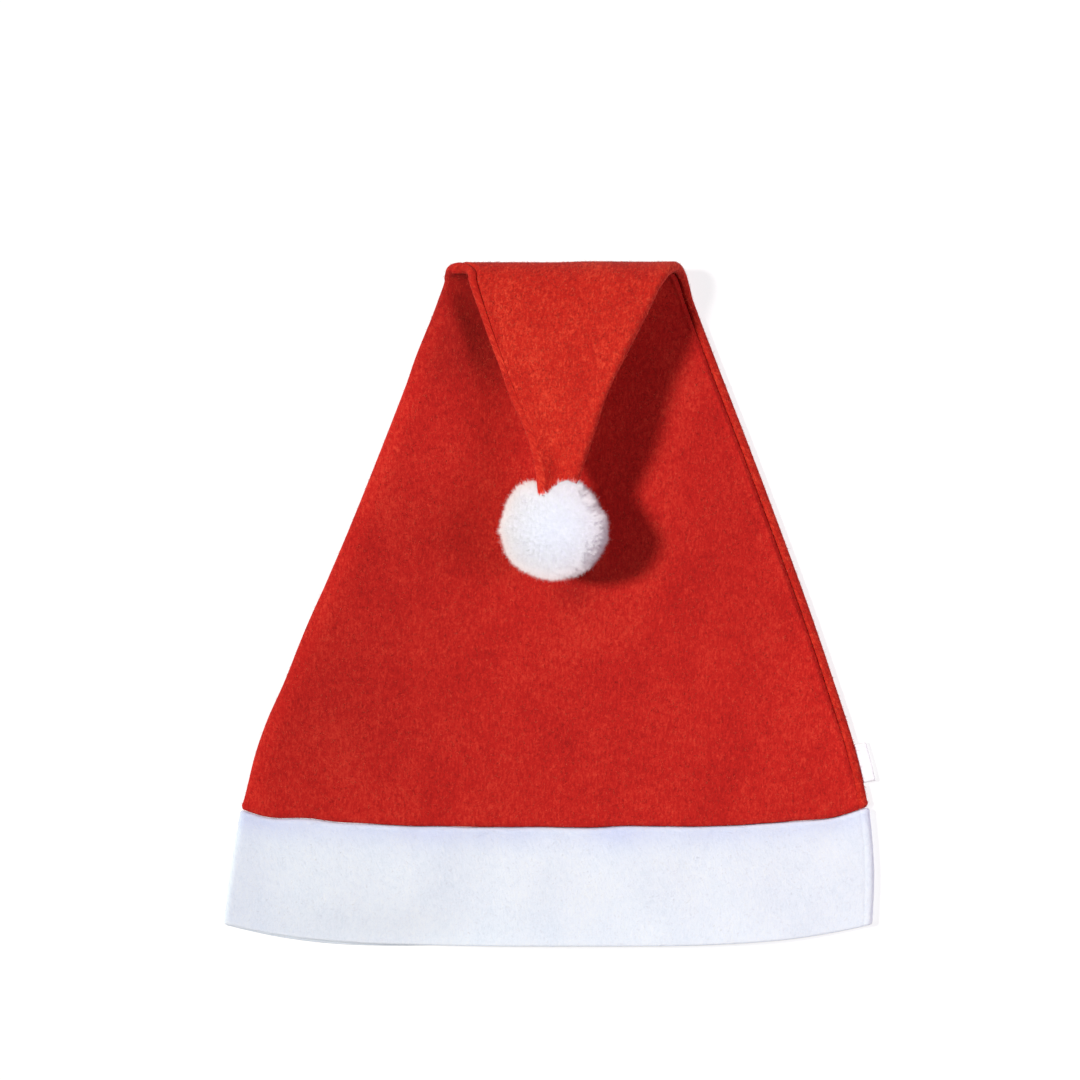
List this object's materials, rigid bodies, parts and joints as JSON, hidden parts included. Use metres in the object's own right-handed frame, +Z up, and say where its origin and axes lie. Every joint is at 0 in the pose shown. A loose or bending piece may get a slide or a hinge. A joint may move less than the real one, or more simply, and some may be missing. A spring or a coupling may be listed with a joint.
{
  "type": "santa hat",
  "caption": "Santa hat of red felt lying flat, with a white felt band, a raised folded tip and a white fibre pompom; hollow and open at the rim for a head.",
  "frame": {"origin": "middle of the hat on the surface that it lies on, on the flat underside of the back panel", "axes": "+Z up from that surface, -Y out of the rim and +Y to the fold, +X to the right of someone who looks at the front, the side with the label"},
  "size_m": [0.2864, 0.2998, 0.0552],
  "materials": {
    "red_felt": "soft pressed polyester felt, matte, with short fibres",
    "white_felt": "soft brushed polyester felt, matte, slightly bluish white",
    "white_fluff": "dense cut fibres, matte and fluffy",
    "white_ribbon": "smooth woven ribbon, slight sheen"
  },
  "bodies": {
    "root": {"crown_front": "red_felt", "crown_back": "red_felt", "band": "white_felt", "pompom": "white_fluff", "side_label": "white_ribbon"}
  },
  "joints": []
}
